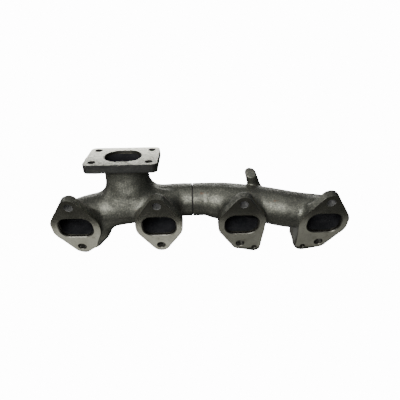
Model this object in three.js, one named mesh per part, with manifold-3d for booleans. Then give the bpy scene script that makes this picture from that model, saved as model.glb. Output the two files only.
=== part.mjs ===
// Exhaust manifold for a four-cylinder engine: two iron castings joined by a slip joint
// with split sealing rings. Millimetres. X runs along the engine, the cylinder head is
// at -Y and +Z is up. The origin lies on the head face, midway between the ports.

import * as THREE from 'three';
import { mergeVertices } from 'three/addons/utils/BufferGeometryUtils.js';
import Module from 'manifold-3d';

const wasm = await Module();
wasm.setup();

// Ports and their flanges.
const PORT_PITCH = 130;
const PORT_WIDTH = 53;
const PORT_HEIGHT = 41;
const PORT_CORNER = 16.5;
const WALL = 6.5;
const FLANGE_THICKNESS = 14.5;
const FLANGE_RIM = 10.7;
const BOLT_SPACING = 88;
const BOLT_HOLE_R = 6.5;
const BOLT_LOBE_R = 14;
const BOLT_SEAT_R = 11.6;
const BOLT_SEAT_DEPTH = 0.6;
const BOLT_ACCESS_Y = 32;
const EAR_X = 24.3;
const EAR_Z = -54;
const EAR_R = 9.9;
const EAR_HOLE_R = 4;
const EAR_RIB_THICKNESS = 10;
const EAR_RIB_DEPTH = 40;

// The log that collects the four ports.
const LOG_Y = 61.5;
const LOG_END_R = 27.5;
const LOG_R = 31;
const LOG_BORE_R = 20;
const COLLAR_LENGTH = 24;
const ELBOW_X = 4;
const ELBOW_Y = 28;
const ELBOW_R = 29;

// Where the log's centre line bends: [X from port 1 or port 4, Y].
const FRONT_BENDS = [[2, 16], [13, 31], [40, 44], [82, 53], [130, 58.5]];
const REAR_BENDS = [[-163, 57.5], [-124, 52], [-85, 45], [-50, 35]];

// The shares of a log's length where its section is round and where it starts to narrow.
const ROUND_AT = 0.3;
const NARROW_AT = 0.55;

// The heel of metal outside port 1's flange: [X from the port, Z, radius] of its corners.
const HEEL_CORNERS = [[5, -54, 10], [28, -26, 15], [24, 0, 15], [-8, -30, 10]];

// The slip joint in the log.
const JOINT_X = -12;
const JOINT_GAP = 0.8;
const JOINT_BORE_R = 17;
const SOCKET_R = 22.8;
const SOCKET_DEPTH = 40;
const SPIGOT_R = 22.2;
const SPIGOT_LENGTH = 34;
const SPIGOT_CHAMFER = 1;
const LAND_R = 25.2;
const LAND_LENGTH = 4;
const COUNTERBORE_R = 25.6;
const COUNTERBORE_DEPTH = 5.5;
const RING_COUNT = 3;
const RING_PITCH = 7;
const FIRST_RING_X = 10.5;
const RING_WIDTH = 2.4;
const RING_OUTER_R = 22.5;
const RING_INNER_R = 20.3;
const RING_SPLIT = 1.2;
const GROOVE_WIDTH = 3;
const GROOVE_R = 19.9;

// The turbocharger flange on its riser.
const TURBO_CENTRE = new THREE.Vector3(-118.8, 74.4, 83.2);
const TURBO_TILT = THREE.MathUtils.degToRad(13.5);
const TURBO_WIDTH = 111.5;
const TURBO_DEPTH = 72;
const TURBO_CORNER = 8;
const TURBO_THICKNESS = 14.2;
const TURBO_PORT_WIDTH = 57;
const TURBO_PORT_DEPTH = 44.5;
const TURBO_BOLTS_X = 85.7;
const TURBO_BOLTS_Y = 48.3;
const TURBO_HOLE_R = 5.3;
const RISER_WALL = 5.5;
const RISER_LEAN = 5;
const RISER_FOOT_Y = 53.5;
const RISER_FOOT_WIDTH = 88;
const RISER_FOOT_BORE_WIDTH = 72;
const RISER_NECK_AT = 0.65;
const RISER_BENDS = [-52, -28];

// The bracket lug on the rear casting: a stub that narrows upward to a tilted flat pad.
const LUG_BASE = new THREE.Vector3(94.3, 73.5, 12);
const LUG_TOP = new THREE.Vector3(80, 73.5, 55);
const LUG_BASE_R = 11.2;
const LUG_TOP_R = 8.5;
const LUG_PAD_Z = 46.5;
const LUG_PAD_TILT = THREE.MathUtils.degToRad(26);

// Fineness of curved surfaces. A full or partial arc in an outline gets twice
// the segments that its extrusion asks for.
const ARC_SEGMENTS = 3;
const ROUND_SEGMENTS = 28;
const SWEEP_SEGMENTS = 28;
const LOG_STEPS = 16;
const RISER_STEPS = 8;

// How far a cutting shape runs past a face, and how far a tube's end hides in its collar.
const CUT = 3;
const SKIN = 0.2;
const WELD = 1e-4;
const X_AXIS = new THREE.Vector3(1, 0, 0);
const Z_AXIS = new THREE.Vector3(0, 0, 1);

const castIron = new THREE.MeshStandardMaterial({ color: 0x4b4b46, roughness: 0.7, metalness: 0.6 });
const springSteel = new THREE.MeshStandardMaterial({ color: 0x8d8f90, roughness: 0.4, metalness: 0.9 });

// ---- Solids ---------------------------------------------------------------

function signedVolume(position, index) {
  const [a, b, c] = [new THREE.Vector3(), new THREE.Vector3(), new THREE.Vector3()];
  let volume = 0;
  for (let i = 0; i < index.count; i += 3) {
    a.fromBufferAttribute(position, index.getX(i));
    b.fromBufferAttribute(position, index.getX(i + 1));
    c.fromBufferAttribute(position, index.getX(i + 2));
    volume += a.dot(b.cross(c));
  }
  return volume;
}

// A closed geometry as a solid, with its faces turned outward if they point in.
function solid(geometry) {
  const bare = geometry.clone();
  bare.deleteAttribute('normal');
  bare.deleteAttribute('uv');
  const { attributes, index } = mergeVertices(bare, WELD);
  const triangles = Uint32Array.from(index.array);
  if (signedVolume(attributes.position, index) < 0) {
    triangles.reverse();
  }
  const vertProperties = Float32Array.from(attributes.position.array);
  return new wasm.Manifold(new wasm.Mesh({ numProp: 3, vertProperties, triVerts: triangles }));
}

function joined(pieces) {
  return pieces.reduce((whole, piece) => whole.add(piece));
}

function without(body, cutters) {
  return cutters.reduce((rest, cutter) => rest.subtract(cutter), body);
}

function namedMesh(name, body, material) {
  const { vertProperties, triVerts } = body.getMesh();
  const shared = new THREE.BufferGeometry();
  shared.setAttribute('position', new THREE.BufferAttribute(vertProperties, 3));
  shared.setIndex(new THREE.BufferAttribute(triVerts, 1));
  const geometry = shared.toNonIndexed();
  geometry.computeVertexNormals();
  const mesh = new THREE.Mesh(geometry, material);
  mesh.name = name;
  return mesh;
}

// ---- Outlines and prisms --------------------------------------------------

// The tight outline round circles [x, y, radius] that are listed counter-clockwise.
function outlineRound(circles) {
  const leaving = circles.map(([x, y, radius], i) => {
    const [nextX, nextY, nextRadius] = circles[(i + 1) % circles.length];
    const distance = Math.hypot(nextX - x, nextY - y);
    return Math.atan2(nextY - y, nextX - x) - Math.acos((radius - nextRadius) / distance);
  });
  const outline = new THREE.Shape();
  circles.forEach(([x, y, radius], i) => {
    const arriving = leaving.at(i - 1);
    outline.absarc(x, y, radius, arriving, leaving[i], false);
  });
  return outline;
}

function roundedRectangle(width, height, radius) {
  const x = width / 2 - radius;
  const y = height / 2 - radius;
  return outlineRound([[x, -y, radius], [x, y, radius], [-x, y, radius], [-x, -y, radius]]);
}

function prism(outline, depth, placement) {
  const options = { depth, bevelEnabled: false, curveSegments: ARC_SEGMENTS };
  const geometry = new THREE.ExtrudeGeometry(outline, options);
  return solid(geometry.applyMatrix4(placement));
}

// A prism whose outline is drawn in X and Z at port x, from Y = near to Y = far.
function prismAtPort(outline, x, near, far) {
  const placement = new THREE.Matrix4().makeBasis(X_AXIS, Z_AXIS, new THREE.Vector3(0, -1, 0));
  placement.setPosition(x, far, 0);
  return prism(outline, far - near, placement);
}

function roundBarAlongY(x, z, radius, near, far) {
  const geometry = new THREE.CylinderGeometry(radius, radius, far - near, ROUND_SEGMENTS);
  return solid(geometry.translate(x, (near + far) / 2, z));
}

// A body turned about the log's axis; its profile lists [distance along X, radius].
function turnedOnLogAxis(profile) {
  const points = profile.map(([x, radius]) => new THREE.Vector2(radius, x));
  const geometry = new THREE.LatheGeometry(points, ROUND_SEGMENTS);
  geometry.rotateZ(-Math.PI / 2);
  return solid(geometry.translate(0, LOG_Y, 0));
}

// ---- Swept tubes ----------------------------------------------------------

const circular = (at, radius) => ({ at, across: radius, along: radius, corner: radius });

const portSection = (at, wall) => ({
  at,
  across: PORT_WIDTH / 2 + wall,
  along: PORT_HEIGHT / 2 + wall,
  corner: PORT_CORNER + wall,
});

function sectionAt(sections, share) {
  const next = Math.max(1, sections.findIndex((section) => section.at >= share));
  const from = sections[next - 1];
  const to = sections[next];
  const ease = THREE.MathUtils.smoothstep(share, from.at, to.at);
  const between = (key) => THREE.MathUtils.lerp(from[key], to[key], ease);
  return { across: between('across'), along: between('along'), corner: between('corner') };
}

// A tube of changing section along a flat path. "along" is the section's half size
// along the binormal, "across" its half size at right angles to that and to the path.
function sweep(path, binormal, sections, steps) {
  const start = Math.PI / SWEEP_SEGMENTS;
  const circle = new THREE.Shape().absarc(0, 0, 1, start, start + 2 * Math.PI, false);
  const options = { depth: 1, steps, bevelEnabled: false, curveSegments: SWEEP_SEGMENTS / 2 };
  const geometry = new THREE.ExtrudeGeometry(circle, options);
  const position = geometry.attributes.position;
  const point = new THREE.Vector3();
  const side = new THREE.Vector3();
  for (let i = 0; i < position.count; i += 1) {
    point.fromBufferAttribute(position, i);
    const share = THREE.MathUtils.clamp(point.z, 0, 1);
    const { across, along, corner } = sectionAt(sections, share);
    const u = Math.sign(point.x) * (across - corner) + point.x * corner;
    const v = Math.sign(point.y) * (along - corner) + point.y * corner;
    side.crossVectors(binormal, path.getTangentAt(share)).normalize();
    path.getPointAt(share, point).addScaledVector(side, u).addScaledVector(binormal, v);
    position.setXYZ(i, point.x, point.y, point.z);
  }
  return solid(geometry);
}

const level = (...points) =>
  new THREE.CatmullRomCurve3(points.map(([x, y]) => new THREE.Vector3(x, y, 0)));

// ---- Parts of a casting ---------------------------------------------------

const portX = (number) => (number - 2.5) * PORT_PITCH;

// The head flange of one port. An ear on its lower inner side is at earX, if it has one.
function flange(number, earX = 0) {
  const halfX = PORT_WIDTH / 2 - PORT_CORNER;
  const halfZ = PORT_HEIGHT / 2 - PORT_CORNER;
  const radius = PORT_CORNER + FLANGE_RIM;
  const lobeZ = BOLT_SPACING / 2;
  const ear = [earX, EAR_Z, EAR_R];
  const circles = [
    ...(earX > 0 ? [ear] : []),
    [halfX, -halfZ, radius],
    [halfX, halfZ, radius],
    [0, lobeZ, BOLT_LOBE_R],
    [-halfX, halfZ, radius],
    [-halfX, -halfZ, radius],
    ...(earX < 0 ? [ear] : []),
    [0, -lobeZ, BOLT_LOBE_R],
  ];
  return prismAtPort(outlineRound(circles), portX(number), 0, FLANGE_THICKNESS);
}

// The two bolt holes of a port, each with a round seat and room for a socket behind it.
function boltHoles(number) {
  const seatY = FLANGE_THICKNESS - BOLT_SEAT_DEPTH;
  return [-BOLT_SPACING / 2, BOLT_SPACING / 2].flatMap((z) => [
    roundBarAlongY(portX(number), z, BOLT_HOLE_R, -CUT, FLANGE_THICKNESS),
    roundBarAlongY(portX(number), z, BOLT_SEAT_R, seatY, BOLT_ACCESS_Y),
  ]);
}

function earHole(number, earX) {
  return roundBarAlongY(portX(number) + earX, EAR_Z, EAR_HOLE_R, -CUT, FLANGE_THICKNESS + CUT);
}

// The short duct between a middle port's flange and the log.
function runner(number) {
  const outline = roundedRectangle(
    PORT_WIDTH + 2 * WALL,
    PORT_HEIGHT + 2 * WALL,
    PORT_CORNER + WALL,
  );
  return prismAtPort(outline, portX(number), FLANGE_THICKNESS / 2, LOG_Y - WALL);
}

function runnerBore(number) {
  const outline = roundedRectangle(PORT_WIDTH, PORT_HEIGHT, PORT_CORNER);
  return prismAtPort(outline, portX(number), -CUT, LOG_Y - 2 * WALL);
}

// ---- Front casting: ports 1 and 2, the riser and the socket ---------------

const socketFaceX = JOINT_X - JOINT_GAP / 2;

function turboPlacement(rise) {
  const normal = new THREE.Vector3(0, Math.sin(TURBO_TILT), Math.cos(TURBO_TILT));
  const across = new THREE.Vector3().crossVectors(normal, X_AXIS);
  const placement = new THREE.Matrix4().makeBasis(X_AXIS, across, normal);
  return placement.setPosition(TURBO_CENTRE.clone().addScaledVector(normal, rise));
}

function riserPath(rise) {
  const onAxis = (distance) => new THREE.Vector3().setFromMatrixPosition(turboPlacement(distance));
  const foot = new THREE.Vector3(TURBO_CENTRE.x + RISER_LEAN, RISER_FOOT_Y, 0);
  return new THREE.CatmullRomCurve3([foot, ...RISER_BENDS.map(onAxis), onAxis(rise)]);
}

function riser() {
  const neck = {
    across: TURBO_PORT_DEPTH / 2 + RISER_WALL,
    along: TURBO_PORT_WIDTH / 2 + RISER_WALL,
    corner: TURBO_PORT_DEPTH / 2 + RISER_WALL,
  };
  const foot = { across: LOG_R, along: RISER_FOOT_WIDTH / 2, corner: LOG_R };
  const sections = [{ at: 0, ...foot }, { at: RISER_NECK_AT, ...neck }, { at: 1, ...neck }];
  return sweep(riserPath(-TURBO_THICKNESS / 2), X_AXIS, sections, RISER_STEPS);
}

function riserBore() {
  const mouth = {
    across: TURBO_PORT_DEPTH / 2,
    along: TURBO_PORT_WIDTH / 2,
    corner: TURBO_PORT_DEPTH / 2,
  };
  const radius = LOG_R - WALL;
  const foot = { across: radius, along: RISER_FOOT_BORE_WIDTH / 2, corner: radius };
  const sections = [{ at: 0, ...foot }, { at: RISER_NECK_AT, ...mouth }, { at: 1, ...mouth }];
  return sweep(riserPath(CUT), X_AXIS, sections, RISER_STEPS);
}

function turboFlange() {
  const outline = roundedRectangle(TURBO_WIDTH, TURBO_DEPTH, TURBO_CORNER);
  return prism(outline, TURBO_THICKNESS, turboPlacement(-TURBO_THICKNESS));
}

function turboHoles() {
  const corners = [[1, 1], [-1, 1], [-1, -1], [1, -1]];
  const length = 3 * TURBO_THICKNESS;
  return corners.map(([x, y]) => {
    const hole = new THREE.CylinderGeometry(TURBO_HOLE_R, TURBO_HOLE_R, length, ROUND_SEGMENTS);
    hole.rotateX(Math.PI / 2);
    hole.translate((x * TURBO_BOLTS_X) / 2, (y * TURBO_BOLTS_Y) / 2, 0);
    return solid(hole.applyMatrix4(turboPlacement(0)));
  });
}

// A rounded heel of metal under port 1, outside its flange on the inner side.
function heel() {
  const outline = outlineRound(HEEL_CORNERS);
  return prismAtPort(outline, portX(1), FLANGE_THICKNESS / 3, 2 * FLANGE_THICKNESS);
}

function frontManifold() {
  const bends = FRONT_BENDS.map(([x, y]) => [portX(1) + x, y]);
  const path = level(
    [portX(1), FLANGE_THICKNESS / 2],
    ...bends,
    [socketFaceX - COLLAR_LENGTH / 2, LOG_Y],
  );
  const borePath = level(
    [portX(1), -CUT],
    ...bends,
    [socketFaceX - SOCKET_DEPTH / 2, LOG_Y],
  );
  const outer = [
    portSection(0, WALL),
    circular(ROUND_AT, LOG_R),
    circular(NARROW_AT, LOG_R),
    circular(1, LOG_END_R - SKIN),
  ];
  const bore = [
    portSection(0, 0),
    circular(ROUND_AT, LOG_R - WALL),
    circular(NARROW_AT, LOG_R - WALL),
    circular(1, LOG_BORE_R),
  ];
  const collar = turnedOnLogAxis([
    [socketFaceX - COLLAR_LENGTH, 0],
    [socketFaceX - COLLAR_LENGTH, LOG_END_R],
    [socketFaceX, LOG_END_R],
    [socketFaceX, 0],
  ]);
  const socket = turnedOnLogAxis([
    [socketFaceX - SOCKET_DEPTH, 0],
    [socketFaceX - SOCKET_DEPTH, SOCKET_R],
    [socketFaceX - COUNTERBORE_DEPTH, SOCKET_R],
    [socketFaceX - COUNTERBORE_DEPTH, COUNTERBORE_R],
    [socketFaceX + CUT, COUNTERBORE_R],
    [socketFaceX + CUT, 0],
  ]);
  const body = joined([
    sweep(path, Z_AXIS, outer, LOG_STEPS),
    collar,
    flange(1),
    flange(2),
    runner(2),
    riser(),
    turboFlange(),
    heel(),
  ]);
  return without(body, [
    sweep(borePath, Z_AXIS, bore, LOG_STEPS),
    runnerBore(2),
    riserBore(),
    socket,
    ...boltHoles(1),
    ...boltHoles(2),
    ...turboHoles(),
  ]);
}

// ---- Rear casting: the spigot, ports 3 and 4 and the lug ------------------

const spigotShoulderX = JOINT_X + JOINT_GAP / 2;
const ringX = (number) => spigotShoulderX - FIRST_RING_X - number * RING_PITCH;

function spigot() {
  const profile = [
    [spigotShoulderX + COLLAR_LENGTH, 0],
    [spigotShoulderX + COLLAR_LENGTH, LOG_END_R],
    [spigotShoulderX, LOG_END_R],
    [spigotShoulderX, LAND_R],
    [spigotShoulderX - LAND_LENGTH, LAND_R],
    [spigotShoulderX - LAND_LENGTH, SPIGOT_R],
  ];
  for (let number = 0; number < RING_COUNT; number += 1) {
    const near = ringX(number) + GROOVE_WIDTH / 2;
    const far = ringX(number) - GROOVE_WIDTH / 2;
    profile.push([near, SPIGOT_R], [near, GROOVE_R], [far, GROOVE_R], [far, SPIGOT_R]);
  }
  const tipX = spigotShoulderX - SPIGOT_LENGTH;
  profile.push([tipX + SPIGOT_CHAMFER, SPIGOT_R], [tipX, SPIGOT_R - SPIGOT_CHAMFER], [tipX, 0]);
  return turnedOnLogAxis(profile);
}

function jointBore() {
  return turnedOnLogAxis([
    [spigotShoulderX - SPIGOT_LENGTH - CUT, 0],
    [spigotShoulderX - SPIGOT_LENGTH - CUT, JOINT_BORE_R],
    [spigotShoulderX + COLLAR_LENGTH, JOINT_BORE_R],
    [spigotShoulderX + COLLAR_LENGTH, 0],
  ]);
}

// The upright rib that carries port 4's ear back to the log.
function earRib(earX) {
  const outerX = earX - EAR_R;
  const inset = EAR_RIB_THICKNESS / 2;
  const outline = outlineRound([
    [outerX + inset, EAR_Z - EAR_R + inset, inset],
    [outerX + inset, 0, inset],
  ]);
  return prismAtPort(outline, portX(4), FLANGE_THICKNESS / 2, EAR_RIB_DEPTH);
}

function lug() {
  const length = LUG_BASE.distanceTo(LUG_TOP);
  const stub = new THREE.CylinderGeometry(LUG_TOP_R, LUG_BASE_R, length, ROUND_SEGMENTS);
  const axis = LUG_TOP.clone().sub(LUG_BASE).normalize();
  stub.applyQuaternion(new THREE.Quaternion().setFromUnitVectors(new THREE.Vector3(0, 1, 0), axis));
  const middle = LUG_BASE.clone().lerp(LUG_TOP, 0.5);
  stub.translate(middle.x, middle.y, middle.z);
  const size = 4 * LUG_BASE_R;
  const abovePad = new THREE.BoxGeometry(size, size, size).translate(0, 0, size / 2);
  abovePad.rotateX(LUG_PAD_TILT);
  abovePad.translate(middle.x, middle.y, LUG_PAD_Z);
  return solid(stub).subtract(solid(abovePad));
}

// The elbow behind port 4: a ball where the log turns into the port.
function elbowBall(radius) {
  const ball = new THREE.SphereGeometry(radius, ROUND_SEGMENTS, ROUND_SEGMENTS / 2);
  return solid(ball.translate(portX(4) - ELBOW_X, ELBOW_Y, 0));
}

function rearManifold() {
  const path = level(
    [spigotShoulderX + COLLAR_LENGTH / 2, LOG_Y],
    ...REAR_BENDS.map(([x, y]) => [portX(4) + x, y]),
    [portX(4) - ELBOW_X, ELBOW_Y],
  );
  const outer = [
    circular(0, LOG_END_R - SKIN),
    circular(ROUND_AT, LOG_R),
    circular(1, ELBOW_R),
  ];
  const bore = [
    circular(0, JOINT_BORE_R),
    circular(ROUND_AT, LOG_R - WALL),
    circular(1, ELBOW_R - WALL),
  ];
  const duct = roundedRectangle(PORT_WIDTH + 2 * WALL, PORT_HEIGHT + 2 * WALL, PORT_CORNER + WALL);
  const ductBore = roundedRectangle(PORT_WIDTH, PORT_HEIGHT, PORT_CORNER);
  const body = joined([
    sweep(path, Z_AXIS, outer, LOG_STEPS),
    elbowBall(ELBOW_R),
    prismAtPort(duct, portX(4), FLANGE_THICKNESS / 2, ELBOW_Y),
    spigot(),
    flange(3, EAR_X),
    flange(4, -EAR_X),
    runner(3),
    earRib(-EAR_X),
    lug(),
  ]);
  return without(body, [
    sweep(path, Z_AXIS, bore, LOG_STEPS),
    elbowBall(ELBOW_R - WALL),
    prismAtPort(ductBore, portX(4), -CUT, ELBOW_Y),
    runnerBore(3),
    jointBore(),
    ...boltHoles(3),
    ...boltHoles(4),
    earHole(3, EAR_X),
    earHole(4, -EAR_X),
  ]);
}

// ---- Sealing rings --------------------------------------------------------

function sealingRing(number) {
  const nearX = ringX(number) - RING_WIDTH / 2;
  const farX = ringX(number) + RING_WIDTH / 2;
  const whole = turnedOnLogAxis([
    [nearX, RING_INNER_R],
    [nearX, RING_OUTER_R],
    [farX, RING_OUTER_R],
    [farX, RING_INNER_R],
    [nearX, RING_INNER_R],
  ]);
  const split = new THREE.BoxGeometry(2 * RING_WIDTH, RING_SPLIT, RING_OUTER_R + CUT);
  split.translate(0, 0, (RING_OUTER_R + CUT) / 2);
  split.rotateX((number * 2 * Math.PI) / RING_COUNT);
  return without(whole, [solid(split.translate(ringX(number), LOG_Y, 0))]);
}

const manifold = new THREE.Group();
manifold.add(namedMesh('front_manifold', frontManifold(), castIron));
manifold.add(namedMesh('rear_manifold', rearManifold(), castIron));
for (let number = 0; number < RING_COUNT; number += 1) {
  manifold.add(namedMesh(`sealing_ring_${number + 1}`, sealingRing(number), springSteel));
}

export default manifold;
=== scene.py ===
"""Looks of a cast iron exhaust manifold: two sand castings joined by a ringed slip joint.

Each casting is described by a distance field in millimetres, meshed, and then machined
with boolean cutters as the real one is. X runs along the engine, -Y faces the cylinder
head and +Z is up.
"""

import math

import bmesh
import bpy
import numpy as np
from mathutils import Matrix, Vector


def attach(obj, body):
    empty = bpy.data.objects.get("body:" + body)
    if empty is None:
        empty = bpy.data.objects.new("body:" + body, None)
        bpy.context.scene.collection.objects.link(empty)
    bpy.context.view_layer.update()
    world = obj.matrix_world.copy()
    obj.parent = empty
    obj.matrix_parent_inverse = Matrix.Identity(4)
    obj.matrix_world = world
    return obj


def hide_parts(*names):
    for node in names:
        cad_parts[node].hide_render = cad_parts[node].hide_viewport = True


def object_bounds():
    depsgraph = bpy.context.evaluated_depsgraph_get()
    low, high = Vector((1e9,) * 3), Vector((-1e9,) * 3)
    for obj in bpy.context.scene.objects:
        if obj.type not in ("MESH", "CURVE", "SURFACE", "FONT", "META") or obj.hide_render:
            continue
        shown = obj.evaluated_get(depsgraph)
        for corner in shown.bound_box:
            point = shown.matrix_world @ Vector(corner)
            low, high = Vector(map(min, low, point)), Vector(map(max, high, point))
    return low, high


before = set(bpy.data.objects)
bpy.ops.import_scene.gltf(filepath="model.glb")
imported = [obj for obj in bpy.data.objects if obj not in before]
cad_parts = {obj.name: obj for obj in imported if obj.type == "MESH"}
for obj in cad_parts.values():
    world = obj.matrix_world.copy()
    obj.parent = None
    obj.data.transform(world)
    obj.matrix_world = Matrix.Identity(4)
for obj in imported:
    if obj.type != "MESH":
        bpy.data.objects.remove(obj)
cad_low, cad_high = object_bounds()

MM = 0.001
CELL = 1.15

# ---- Dimensions, in millimetres ------------------------------------------------

PORT_PITCH = 130.0
PORT_HALF_WIDTH = 26.5
PORT_HALF_HEIGHT = 20.5
PORT_CORNER = 16.5
WALL = 6.5
FLANGE_THICKNESS = 14.5
FLANGE_RIM = 10.7
BOLT_Z = 44.0
BOLT_HOLE_R = 6.5
BOLT_LOBE_R = 14.0
BOLT_SEAT_R = 11.6
EAR = (24.3, -54.0)
EAR_R = 9.9
EAR_HOLE_R = 4.0

LOG_Y = 61.5
LOG_END_R = 27.5
JOINT_X = -12.0
JOINT_GAP = 0.8
JOINT_EDGE = 0.6
JOINT_BORE_R = 17.0
SOCKET_R = 22.8
SOCKET_DEPTH = 40.0
SPIGOT_R = 22.2
SPIGOT_LENGTH = 34.0
LAND_R = 25.2
LAND_LENGTH = 4.0
COUNTERBORE_R = 25.6
COUNTERBORE_DEPTH = 5.5
GROOVE_R = 19.9
GROOVE_WIDTH = 3.0
RING_PITCH = 7.0
FIRST_RING_X = 10.5

TURBO_CENTRE = (-118.8, 74.4, 83.2)
TURBO_TILT = math.radians(13.5)
TURBO_HALF_WIDTH = 55.75
TURBO_HALF_DEPTH = 36.0
TURBO_CORNER = 8.0
TURBO_THICKNESS = 14.2
TURBO_PORT = (28.5, 22.25)
TURBO_BOLTS = (42.85, 24.15)
TURBO_HOLE_R = 5.3
RISER_LEAN = 0.07
LUG_BASE = (94.3, 73.5, 12.0)
LUG_TOP = (80.0, 73.5, 55.0)
LUG_RADII = (11.1, 8.4)
LUG_PAD_Z = 46.5
LUG_PAD_TILT = math.radians(26)

# How far the cast skin stays inside the box of the whole part.
BOX_MARGIN = 0.05

# Brightness of the floor and the surroundings as the camera sees them.
WHITE = 14.0


def port_x(number):
    return (number - 2.5) * PORT_PITCH


# ---- Distance fields -----------------------------------------------------------

class Block:
    """A box of grid points that holds one casting's distance field."""

    def __init__(self, low, high):
        self.low = np.array(low, float)
        counts = [int(math.ceil((h - l) / CELL)) + 1 for l, h in zip(low, high)]
        self.axes = [l + CELL * np.arange(n) for l, n in zip(low, counts)]
        self.field = np.full(counts, 30.0, np.float32)
        self.hollow = np.full(counts, 30.0, np.float32)

    def region(self, low, high):
        """The slices and the open grid of the points between two corners."""
        cuts = [slice(*np.searchsorted(a, (l, h))) for a, l, h in zip(self.axes, low, high)]
        x, y, z = (a[c] for a, c in zip(self.axes, cuts))
        return tuple(cuts), (x[:, None, None], y[None, :, None], z[None, None, :])

    def add(self, shape, low, high, blend=0.0):
        cuts, grid = self.region(low, high)
        self.field[cuts] = smooth_min(self.field[cuts], shape(*grid), blend)

    def carve(self, shape, low, high, blend=0.0):
        cuts, grid = self.region(low, high)
        self.hollow[cuts] = smooth_min(self.hollow[cuts], shape(*grid), blend)


def smooth_min(a, b, blend):
    if blend <= 0:
        return np.minimum(a, b)
    share = np.clip(0.5 + 0.5 * (b - a) / blend, 0, 1)
    return (b + (a - b) * share - blend * share * (1 - share)).astype(np.float32)


def rounded_box_2d(u, v, half_u, half_v, corner):
    over_u = np.abs(u) - (half_u - corner)
    over_v = np.abs(v) - (half_v - corner)
    outside = np.hypot(np.maximum(over_u, 0), np.maximum(over_v, 0))
    return outside + np.minimum(np.maximum(over_u, over_v), 0) - corner


def thick(flat, low, high, along, edge):
    """A flat distance made into a slab from low to high along an axis, with round edges."""
    ends = np.maximum(low - along, along - high) + edge
    sides = flat + edge
    outside = np.hypot(np.maximum(sides, 0), np.maximum(ends, 0))
    return outside + np.minimum(np.maximum(sides, ends), 0) - edge


def outline_round(circles, per_arc=10):
    """Points of the tight outline round circles (x, z, radius), listed counter-clockwise."""
    leaving = []
    for i, (x, z, radius) in enumerate(circles):
        next_x, next_z, next_radius = circles[(i + 1) % len(circles)]
        distance = math.hypot(next_x - x, next_z - z)
        heading = math.atan2(next_z - z, next_x - x)
        leaving.append(heading - math.acos((radius - next_radius) / distance))
    points = []
    for i, (x, z, radius) in enumerate(circles):
        start, end = leaving[i - 1], leaving[i]
        end += math.tau * math.ceil((start - end) / math.tau)
        for angle in np.linspace(start, end, per_arc):
            points.append((x + radius * math.cos(angle), z + radius * math.sin(angle)))
    return np.array(points)


def polygon_distance(points, x, z):
    """Signed distance to a convex outline that runs counter-clockwise."""
    x, z = np.broadcast_arrays(x, z)
    nearest = np.full(x.shape, 1e9)
    inside = np.full(x.shape, True)
    for (x0, z0), (x1, z1) in zip(points, np.roll(points, -1, axis=0)):
        dx, dz = x1 - x0, z1 - z0
        length_squared = dx * dx + dz * dz
        if length_squared < 1e-9:
            continue
        share = np.clip(((x - x0) * dx + (z - z0) * dz) / length_squared, 0, 1)
        nearest = np.minimum(nearest, np.hypot(x - x0 - share * dx, z - z0 - share * dz))
        inside &= dx * (z - z0) - dz * (x - x0) >= 0
    return np.where(inside, -nearest, nearest)


def smooth_path(points, count=70):
    """Points evenly spread along a smooth curve through the given ones."""
    points = np.array(points, float)
    ends = np.vstack([2 * points[0] - points[1], points, 2 * points[-1] - points[-2]])
    fine = []
    for p0, p1, p2, p3 in zip(ends, ends[1:], ends[2:], ends[3:]):
        for t in np.linspace(0, 1, 24, endpoint=False):
            a = 2 * p1 + (p2 - p0) * t + (2 * p0 - 5 * p1 + 4 * p2 - p3) * t * t
            fine.append(0.5 * (a + (3 * p1 - p0 - 3 * p2 + p3) * t ** 3))
    fine = np.array(fine + [points[-1]])
    reach = np.concatenate([[0], np.cumsum(np.linalg.norm(np.diff(fine, axis=0), axis=1))])
    even = np.linspace(0, reach[-1], count)
    return np.column_stack([np.interp(even, reach, fine[:, k]) for k in range(2)])


def along_path(path, p, q):
    """For points (p, q) of the path's plane: share of its length, side distance, overshoot."""
    p, q = np.broadcast_arrays(p, q)
    steps = np.diff(path, axis=0)
    lengths = np.linalg.norm(steps, axis=1)
    reach = np.concatenate([[0], np.cumsum(lengths)])
    best = np.full(p.shape, 1e9)
    share, side = np.zeros(p.shape), np.zeros(p.shape)
    for (p0, q0), (dp, dq), length, start in zip(path, steps, lengths, reach):
        t = np.clip(((p - p0) * dp + (q - q0) * dq) / length ** 2, 0, 1)
        gap = np.hypot(p - p0 - t * dp, q - q0 - t * dq)
        nearer = gap < best
        best = np.where(nearer, gap, best)
        share = np.where(nearer, (start + t * length) / reach[-1], share)
        turned = (dp * (q - q0) - dq * (p - p0)) / length
        side = np.where(nearer, turned, side)
    before = ((path[0] - path[1]) / lengths[0])
    after = ((path[-1] - path[-2]) / lengths[-1])
    over_start = (p - path[0][0]) * before[0] + (q - path[0][1]) * before[1]
    over_end = (p - path[-1][0]) * after[0] + (q - path[-1][1]) * after[1]
    over = np.where(share <= 0, over_start, np.where(share >= 1, over_end, -1e3))
    return share, side, over


def stations(share, table):
    """Half width, half height, corner radius and height at shares of a path, eased."""
    at = [row[0] for row in table]
    spread = np.searchsorted(at, np.clip(share, 0, 1), side="right") - 1
    spread = np.clip(spread, 0, len(table) - 2)
    rows = np.array(table, float)
    low, high = rows[spread], rows[spread + 1]
    t = np.clip((share - low[..., 0]) / (high[..., 0] - low[..., 0]), 0, 1)
    ease = t * t * (3 - 2 * t)
    return [low[..., k] + (high[..., k] - low[..., k]) * ease for k in range(1, len(table[0]))]


def level_duct(path, table):
    """A duct whose path lies in the plane Z = 0."""
    def shape(x, y, z):
        share, side, over = along_path(path, x[:, :, 0], y[:, :, 0])
        half_u, half_v, corner, rise = (k[:, :, None] for k in stations(share, table))
        flat = rounded_box_2d(side[:, :, None], z - rise, half_u, half_v, corner)
        return np.maximum(flat, over[:, :, None])
    return shape


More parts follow.
